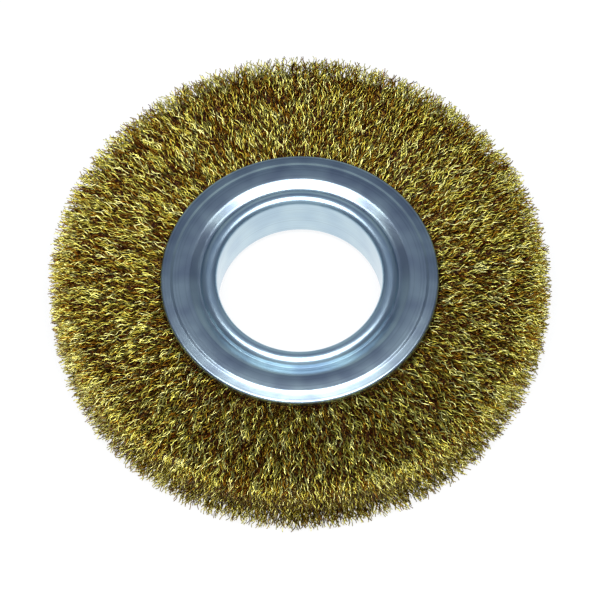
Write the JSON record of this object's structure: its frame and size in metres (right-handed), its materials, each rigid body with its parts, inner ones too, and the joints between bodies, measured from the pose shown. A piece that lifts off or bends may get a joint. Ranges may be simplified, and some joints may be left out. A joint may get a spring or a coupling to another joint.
{
  "type": "wire wheel brush",
  "caption": "Crimped wire wheel brush: brass-coated steel wires spread from a pressed, zinc-plated steel hub with rolled lips round a large plain bore.",
  "frame": {"origin": "middle of the bore, on its axis, half way between the two side faces", "axes": "+Z along the bore axis, out of the front face; the wheel lies flat on its rear face"},
  "size_m": [0.1526, 0.1526, 0.0217],
  "materials": {
    "zinc_plated_steel": "zinc plated, satin bright, with a slight blue cast",
    "ring_steel": "plain drawn steel",
    "brassed_wire": "fine crimped steel wire with a thin brass coat"
  },
  "bodies": {
    "root": {"bore_sleeve": "zinc_plated_steel", "front_flange": "zinc_plated_steel", "rear_flange": "zinc_plated_steel", "retaining_ring": "ring_steel", "wire_fill": "brassed_wire"}
  },
  "joints": []
}
